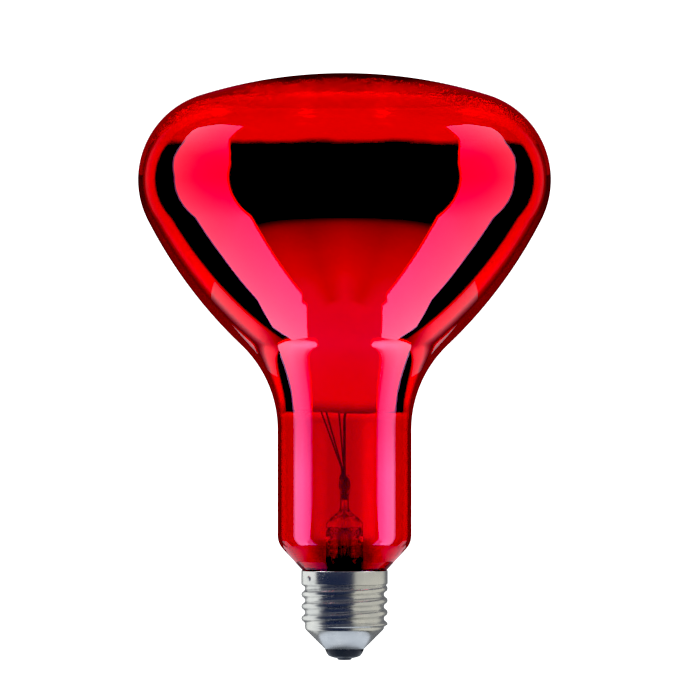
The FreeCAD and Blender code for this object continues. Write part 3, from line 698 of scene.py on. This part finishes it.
def coil_piece():
    """The tungsten wire, wound in a close coil between the posts."""
    height = (coil_low[2] + coil_high[2]) / 2
    posts = []
    for number in range(POSTS):
        angle = math.radians(180 + POST_STEP * (number - (POSTS - 1) / 2))
        posts.append(Vector((COIL_RING * math.cos(angle), COIL_RING * math.sin(angle), height)))
    up = Vector((0, 0, 1))
    path = [posts[0] + (posts[0] - posts[1]).normalized() * (COIL_LEG / 2)]
    path.append(posts[0])
    steps = COIL_TURNS * COIL_STEPS
    for start, stop in zip(posts, posts[1:]):
        along = (stop - start).normalized()
        out = along.cross(up)
        length = (stop - start).length - 2 * COIL_LEG
        for step in range(steps + 1):
            turns = step / COIL_STEPS
            swell = COIL_RADIUS * min(1, turns, COIL_TURNS - turns)
            angle = 2 * math.pi * turns
            axis = start + along * (COIL_LEG + length * step / steps)
            path.append(axis + (out * math.cos(angle) + up * math.sin(angle)) * swell)
        path.append(stop)
    path.append(posts[-1] + (posts[-1] - posts[-2]).normalized() * (COIL_LEG / 2))
    side = up
    rings = []
    for index, point in enumerate(path):
        along = (path[min(index + 1, len(path) - 1)] - path[max(index - 1, 0)]).normalized()
        side = (side - along * side.dot(along)).normalized()
        across = along.cross(side)
        ring = []
        for corner in range(6):
            angle = math.pi * corner / 3
            ring.append(tuple(point + (side * math.cos(angle) + across * math.sin(angle)) * COIL_WIRE))
        rings.append(ring)
    return ringed("tungsten_coil", rings, filled=True)


coil = coil_piece()
finished(coil, "tungsten", "filament")

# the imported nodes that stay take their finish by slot

SLOTS = {
    "exhaust_tube": "clear_glass",
    "capping_cement": "cement",
    "cap_insulator": "black_glass",
    "centre_contact": "contact_metal",
    "contact_solder": "solder",
    "side_weld": "solder",
    "inner_lead_1": "nickel",
    "inner_lead_2": "nickel",
    "seal_wire_1": "dumet",
    "seal_wire_2": "dumet",
    "outer_lead_centre": "copper",
    "outer_lead_side": "copper",
}
for name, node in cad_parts.items():
    slot = SLOTS.get(name, "molybdenum" if name.startswith("support_wire") else None)
    if slot is None:
        continue
    if not node.material_slots:
        node.data.materials.append(None)
    for holder in node.material_slots:
        holder.link = "OBJECT"
        holder.material = materials[slot]

# the studio

# Mirrored paths meet a dark room with panels, flags and a pale floor. Every other path meets the
# white backdrop, so the clear glass stays bright from any side. The walls stand for the soft boxes
# and black flags that a lamp with a mirror is photographed with, and were placed for the front view.

WALL_STEPS = 32
RING_STEPS = 48

# distances from the lamp's axis
PANEL_X = 195
RUG_X = 172
BACKLIGHT_RADIUS = 75
NEAR_RADIUS = 34
FRONT_RADIUS = 150
SIDE_RADIUS = 210
BACK_RADIUS = 400
CARD_RADIUS = 25
ROOF_RADIUS = 15.5
TRAY_RADIUS = 13
RING_HOLE = 0.5

# heights
FLOOR_Z = -400
PANEL_LOW = -385
LIGHT_LOW = -100
LIGHT_HIGH = 250
CLOTH_LOW = -75
STRIP_FOOT = -20
FALL_TOP = 45
CLOTH_SEAM = 160
ROOM_TOP = 450
NEAR_LOW = -14
NEAR_SKIRT = 31
NEAR_KNEE = 48
NEAR_BEND = 70
NEAR_HIGH = 78
PIT_Z = -14
TRAY_Z = -1
ROOF_Z = 28.5
ROOF_TOP_Z = 28.8

# angles from the camera's side, and depths along the view for the flat walls
FRONT_HALF = 54.5
NEAR_HALF = 39.5
NEAR_SPAN = (40, 71.5)
SIDE_SPAN = (84, 118)
BACK_SPAN = (140, 220)
STRIP_DEPTHS = (90, 300)
RUG_DEPTHS = (-90, 60)
FLOOR_HALF = 1500

# the near wall's bands: name, low and high edge, angles of the low edge, angles of the high edge.
# The narrower edges at its head and foot shape the ends of the neck's bright strips.
NEAR_BANDS = (
    ("near_panel_", NEAR_KNEE, NEAR_BEND, NEAR_SPAN, NEAR_SPAN),
    ("near_knee_", NEAR_SKIRT, NEAR_KNEE, (46, 71.5), NEAR_SPAN),
    ("near_head_", NEAR_BEND, NEAR_HIGH, NEAR_SPAN, (40, 67)),
    ("near_foot_", NEAR_LOW, NEAR_SKIRT, (66, 70), (50, 71.5)),
)

# the big side panels' edge, as (y, z) corners. Its steps draw the edge of the flank's bright strips.
PANEL_EDGE = (
    (-122, PANEL_LOW), (120, PANEL_LOW), (85, -180), (30, -115), (18, -20), (18, 150), (36, 195),
    (40, 234), (57, 277), (57, 295), (16, 343), (-48, 378), (-69, 289), (-101, 236), (-115, 198),
    (-122, 150),
)

# the cards round the cap: name, angles from and to, colour
CARDS = (
    ("card_left", -118, -62, (0.98, 1.0, 0.97)),
    ("card_front", -62, 20, (0.060, 0.068, 0.105)),
    ("card_right", 20, 104, (0.64, 0.63, 0.56)),
    ("card_back", 104, 242, (0.20, 0.205, 0.215)),
)

WHITE = (1, 1, 1)
STRIP_RED = (1.0, 0.22, 0.22)
STRIP_PINK = (1.0, 0.8, 0.8)
CLOTH_RED = (1.0, 0.18, 0.22)
ROOF_PINK = (1.0, 0.8, 0.85)
ROOM_DARK = (0.010, 0.011, 0.014)
BACKDROP_STRENGTH = 1.6
FLOOR_GLOW = 0.94

scene = bpy.context.scene


def mirrored_path(nodes, links):
    """A socket that is 1 on a path that has met a mirror or a glossy face, and 0 on any other."""
    path = nodes.new("ShaderNodeLightPath")
    return maths(nodes, links, "GREATER_THAN", path.outputs["Glossy Depth"], 0.5)


def studio_world(white, dark):
    """A white backdrop of one strength, and a dark room for mirrored paths."""
    world = bpy.data.worlds.new("studio")
    world.use_nodes = True
    nodes = world.node_tree.nodes
    links = world.node_tree.links
    backdrop = nodes["Background"]
    backdrop.inputs["Color"].default_value = (1, 1, 1, 1)
    backdrop.inputs["Strength"].default_value = white
    room = nodes.new("ShaderNodeBackground")
    room.inputs["Color"].default_value = (*dark, 1)
    mix = nodes.new("ShaderNodeMixShader")
    links.new(mirrored_path(nodes, links), mix.inputs[0])
    links.new(backdrop.outputs["Background"], mix.inputs[1])
    links.new(room.outputs["Background"], mix.inputs[2])
    links.new(mix.outputs["Shader"], nodes["World Output"].inputs["Surface"])
    return world


scene.world = studio_world(BACKDROP_STRENGTH, ROOM_DARK)


def stage_mesh(name, points, faces, material):
    """A flat-shaded part of the studio, which isn't part of the lamp."""
    thing = mesh_object(name, points, faces, smooth=False)
    thing.data.materials.append(material)
    thing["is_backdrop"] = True
    return thing


def unseen(thing):
    """Takes a part of the studio out of the camera's sight, of plain light and of shadows."""
    thing.visible_camera = False
    thing.visible_diffuse = False
    thing.visible_shadow = False
    return thing


def stage_material(name):
    """An empty material, with its nodes, its links and its surface socket."""
    material = bpy.data.materials.new(name)
    material.use_nodes = True
    nodes = material.node_tree.nodes
    nodes.clear()
    output = nodes.new("ShaderNodeOutputMaterial")
    return material, nodes, material.node_tree.links, output.inputs["Surface"]


def only_mirrored(nodes, links, shown, surface, mirrored=True):
    """Shows a shader to mirrored paths, or to all the others, and lets the rest straight through."""
    clear = nodes.new("ShaderNodeBsdfTransparent")
    mix = nodes.new("ShaderNodeMixShader")
    links.new(mirrored_path(nodes, links), mix.inputs[0])
    links.new(clear.outputs["BSDF"], mix.inputs[1 if mirrored else 2])
    links.new(shown, mix.inputs[2 if mirrored else 1])
    links.new(mix.outputs["Shader"], surface)


def graded(nodes, links, source, stops):
    """A value that runs through the stops along a coordinate, as a share of the greatest strength,
    and that greatest strength. Each stop is a place in millimetres and a strength."""
    start = stops[0][0] * MM
    stop = stops[-1][0] * MM
    most = max(strength for _, strength in stops)
    share = nodes.new("ShaderNodeMapRange")
    share.inputs["From Min"].default_value = start
    share.inputs["From Max"].default_value = stop
    links.new(source, share.inputs["Value"])
    ramp = nodes.new("ShaderNodeValToRGB")
    marks = ramp.color_ramp.elements
    while len(marks) < len(stops):
        marks.new(0.5)
    for mark, (place, strength) in zip(marks, stops):
        mark.position = (place * MM - start) / (stop - start)
        mark.color = (strength / most, strength / most, strength / most, 1)
    links.new(share.outputs["Result"], ramp.inputs["Fac"])
    return ramp.outputs["Color"], most


def graded_glow(name, colour, mirrored=True, bend=None, **stops):
    """Light whose strength is the product of the stops along each axis given. With a bend, the lines
    of equal height sink away from the middle as on a ball of that radius."""
    material, nodes, links, surface = stage_material(name)
    place = nodes.new("ShaderNodeTexCoord")
    split = nodes.new("ShaderNodeSeparateXYZ")
    links.new(place.outputs["Object"], split.inputs["Vector"])
    places = {axis: split.outputs[axis] for axis in "XYZ"}
    if bend:
        squared = maths(nodes, links, "MULTIPLY", places["X"], places["X"])
        places["Z"] = maths(nodes, links, "MULTIPLY_ADD", squared, 1 / (2 * bend * MM), places["Z"])
    strength = None
    for axis, marks in stops.items():
        share, most = graded(nodes, links, places[axis], marks)
        scaled = maths(nodes, links, "MULTIPLY", share, most)
        strength = maths(nodes, links, "MULTIPLY", strength, scaled) if strength else scaled
    shine = nodes.new("ShaderNodeEmission")
    shine.inputs["Color"].default_value = (*colour, 1)
    links.new(strength, shine.inputs["Strength"])
    only_mirrored(nodes, links, shine.outputs["Emission"], surface, mirrored)
    return material


def cloth(name, shade):
    """Cloth or card of one even shade, which only mirrored paths meet. It glows with that shade and takes no
    light: painted reflection.
    """
    material, nodes, links, surface = stage_material(name)
    even = nodes.new("ShaderNodeEmission")
    even.inputs["Color"].default_value = (*shade, 1)
    only_mirrored(nodes, links, even.outputs["Emission"], surface)
    return material


def wall_round(name, radius, start, stop, low, high, material, foot=None):
    """An upright curved wall about the lamp's axis, whose material says which paths meet it. Its
    angles are in degrees from the camera's side, towards +X. A foot gives its low edge angles of
    its own."""
    points = []
    for step in range(WALL_STEPS + 1):
        for height, (first, last) in ((low, foot or (start, stop)), (high, (start, stop))):
            angle = math.radians(first + (last - first) * step / WALL_STEPS)
            points.append((radius * math.sin(angle), -radius * math.cos(angle), height))
    faces = [(2 * step, 2 * step + 2, 2 * step + 3, 2 * step + 1) for step in range(WALL_STEPS)]
    return unseen(stage_mesh(name, points, faces, material))


def side_wall(name, side, outline, material):
    """An upright flat wall beside the lamp, from its outline's (y, z) corners."""
    corners = [(side * PANEL_X, y, z) for y, z in outline]
    return unseen(stage_mesh(name, corners, [tuple(range(len(corners)))], material))


def upright(low, high):
    """The (y, z) corners of a strip's wall."""
    front, back = STRIP_DEPTHS
    return [(front, low), (back, low), (back, high), (front, high)]


def flat_ring(name, inside, outside, height, material):
    """A level ring about the lamp's axis."""
    points = []
    for step in range(RING_STEPS):
        angle = 2 * math.pi * step / RING_STEPS
        for radius in (inside, outside):
            points.append((radius * math.cos(angle), radius * math.sin(angle), height))
    faces = []
    for step in range(RING_STEPS):
        after = (step + 1) % RING_STEPS
        faces.append((2 * step, 2 * step + 1, 2 * after + 1, 2 * after))
    return unseen(stage_mesh(name, points, faces, material))


# light and cloth, each with its strength at places in millimetres along an axis
panel_light = graded_glow(
    "panel_light",
    WHITE,
    Z=(
        (PANEL_LOW, 5.2), (-200, 4.9), (-100, 4.3), (-27, 3.6), (9, 2.8),
        (83, 2.0), (145, 1.4), (206, 1.5), (262, 2.3), (ROOM_TOP, 3.5),
    ),
)
near_light = graded_glow(
    "near_light",
    WHITE,
    Y=((-26.5, 0.4), (-24.5, 6.0), (-19, 8.2), (-13, 6.8), (-10, 0.4)),
    Z=((NEAR_LOW, 0.9), (56, 1.0), (68, 0.75), (NEAR_HIGH, 0.55)),
)
strip_fade = ((90, 0.0), (112, 0.85), (135, 1.0), (190, 1.0), (225, 0.4), (260, 0.18), (300, 0.06))
strip_light = graded_glow(
    "strip_light",
    STRIP_RED,
    Y=strip_fade,
    Z=((STRIP_FOOT, 1.3), (20, 1.15), (60, 1.0), (ROOM_TOP, 0.95)),
)
strip_foot_light = graded_glow(
    "strip_foot_light",
    STRIP_PINK,
    Y=strip_fade,
    Z=((FLOOR_Z, 0.2), (-200, 0.35), (-160, 0.7), (-110, 1.3), (STRIP_FOOT, 1.2)),
)
backlight_glow = graded_glow(
    "backlight",
    WHITE,
    mirrored=False,
    bend=132,
    Z=(
        (LIGHT_LOW, 1.6), (80, 1.6), (120, 1.1), (158, 0.92), (165, 1.02), (174, 1.1), (177, 1.3),
        (181, 2.0), (185, 3.1), (190, 4.4), (200, 5.5), (LIGHT_HIGH, 5.5),
    ),
)
fall_light = graded_glow(
    "front_fall",
    WHITE,
    bend=-620,
    Z=(
        (FLOOR_Z - 15, 0.94), (-180, 0.90), (-72, 0.72), (-26, 0.54), (-8, 0.42), (0, 0.3), (6, 0.12),
        (12, 0.012), (60, 0.012),
    ),
    X=((-122, 1.0), (-100, 1.0), (-57, 0.8), (0, 1.0), (65, 0.82), (110, 1.0), (122, 1.0)),
)
roof_light = graded_glow(
    "roof_top",
    ROOF_PINK,
    X=((-25, 1.0), (-15, 0.8), (-9, 0.03), (9, 0.03), (15, 0.8), (25, 1.0)),
)
red_cloth = graded_glow(
    "red_cloth",
    CLOTH_RED,
    Z=((CLOTH_LOW, 0.24), (60, 0.22), (110, 0.10), (CLOTH_SEAM, 0.08)),
)
rim_cloth = graded_glow(
    "rim_cloth",
    CLOTH_RED,
    X=((-257, 0.3), (-52, 0.3), (-32, 0.06), (32, 0.06), (52, 0.3), (257, 0.3)),
)
flag = cloth("flag_cloth", (0.012, 0.012, 0.013))

# the light box all round, which is seen through the clear glass alone
backlight = wall_round("backlight", BACKLIGHT_RADIUS, -180, 180, LIGHT_LOW, LIGHT_HIGH, backlight_glow)
backlight.visible_glossy = False

for side, word in ((-1, "left"), (1, "right")):
    side_wall("panel_" + word, side, PANEL_EDGE, panel_light)
    side_wall("strip_" + word, side, upright(STRIP_FOOT, ROOM_TOP), strip_light)
    side_wall("strip_foot_" + word, side, upright(FLOOR_Z, STRIP_FOOT), strip_foot_light)
    for name, low, high, foot, head in NEAR_BANDS:
        start, stop = [side * angle for angle in head]
        foot_angles = [side * angle for angle in foot]
        wall_round(name + word, NEAR_RADIUS, start, stop, low, high, near_light, foot_angles)
    # a low, level strip of the panel's light, for the steepest part of the throat
    front, back = RUG_DEPTHS
    rug = ((PANEL_X, front), (PANEL_X, back), (RUG_X, back), (RUG_X, front))
    rug_points = [(side * x, y, PANEL_LOW) for x, y in rug]
    unseen(stage_mesh("rug_" + word, rug_points, [(0, 1, 2, 3)], panel_light))
    start, stop = [side * angle for angle in SIDE_SPAN]
    wall_round("side_flag_" + word, SIDE_RADIUS, start, stop, FLOOR_Z, ROOM_TOP, flag)
wall_round("flag_front", FRONT_RADIUS, -FRONT_HALF, FRONT_HALF, FALL_TOP, ROOM_TOP, flag)
wall_round("flag_back", BACK_RADIUS, *BACK_SPAN, CLOTH_LOW, CLOTH_SEAM, red_cloth)
wall_round("flag_back_top", BACK_RADIUS, *BACK_SPAN, CLOTH_SEAM, ROOM_TOP, rim_cloth)
near_cloth = cloth("near_front", (0.94, 0.94, 0.94))
wall_round("near_front", NEAR_RADIUS, -NEAR_HALF, NEAR_HALF, NEAR_SKIRT, NEAR_HIGH, near_cloth)
wall_round("front_fall", FRONT_RADIUS, -FRONT_HALF, FRONT_HALF, FLOOR_Z, FALL_TOP, fall_light)

# the cards round the cap, with a tray under them and a roof over them, for its bright, dark and
# cream faces
for name, start, stop, shade in CARDS:
    wall_round(name, CARD_RADIUS, start, stop, PIT_Z, ROOF_Z, cloth(name, shade))
flat_ring("tray", RING_HOLE, TRAY_RADIUS, TRAY_Z, cloth("card_tray", (0.70, 0.76, 0.84)))
flat_ring("pit", RING_HOLE, CARD_RADIUS, PIT_Z, flag)
flat_ring("roof", ROOF_RADIUS, CARD_RADIUS, ROOF_Z, cloth("card_roof", (0.17, 0.17, 0.19)))
flat_ring("roof_top", ROOF_RADIUS, CARD_RADIUS, ROOF_TOP_Z, roof_light)

floor_material = bpy.data.materials.new("floor")
floor_material.use_nodes = True
floor_nodes = floor_material.node_tree.nodes
floor_links = floor_material.node_tree.links
floor_shader = floor_nodes["Principled BSDF"]
floor_shader.inputs["Base Color"].default_value = (0.9, 0.9, 0.9, 1)
floor_shader.inputs["Roughness"].default_value = 0.9
floor_shader.inputs["Specular IOR Level"].default_value = 0.0
floor_seen = floor_nodes.new("ShaderNodeEmission")
floor_seen.inputs["Strength"].default_value = FLOOR_GLOW
floor_mix = floor_nodes.new("ShaderNodeMixShader")
floor_links.new(mirrored_path(floor_nodes, floor_links), floor_mix.inputs[0])
floor_links.new(floor_shader.outputs["BSDF"], floor_mix.inputs[1])
floor_links.new(floor_seen.outputs["Emission"], floor_mix.inputs[2])
floor_links.new(floor_mix.outputs["Shader"], floor_nodes["Material Output"].inputs["Surface"])
floor_corners = ((-1, -1), (1, -1), (1, 1), (-1, 1))
floor_points = [(x * FLOOR_HALF, y * FLOOR_HALF, FLOOR_Z) for x, y in floor_corners]
stage_mesh("floor", floor_points, [(0, 1, 2, 3)], floor_material)

# the camera of the photograph: 0.30266 mm of the lamp's plane to a pixel

MM_PER_PIXEL = 0.30266
PIXELS = 700
CAMERA_AWAY = 2500
CAMERA_X = 1.66
CAMERA_Z = 93.82
SENSOR = 36
BLACK_LEVEL = 0.035
half_view = MM_PER_PIXEL * PIXELS / 2
camera_data = bpy.data.cameras.new("camera")
camera_data.sensor_width = SENSOR
camera_data.lens = SENSOR / 2 * CAMERA_AWAY / half_view
camera = bpy.data.objects.new("camera", camera_data)
camera.location = (CAMERA_X * MM, -CAMERA_AWAY * MM, CAMERA_Z * MM)
camera.rotation_euler = (math.radians(90), 0, 0)
scene.collection.objects.link(camera)
scene.camera = camera

scene.view_settings.view_transform = "Standard"
scene.view_settings.use_curve_mapping = True
scene.view_settings.curve_mapping.black_level = (BLACK_LEVEL, BLACK_LEVEL, BLACK_LEVEL)
scene.view_settings.curve_mapping.update()
scene.cycles.max_bounces = 24
scene.cycles.glossy_bounces = 12
scene.cycles.transmission_bounces = 16

low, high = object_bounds()
{"cad": [list(cad_low), list(cad_high)], "visual": [list(low), list(high)]}
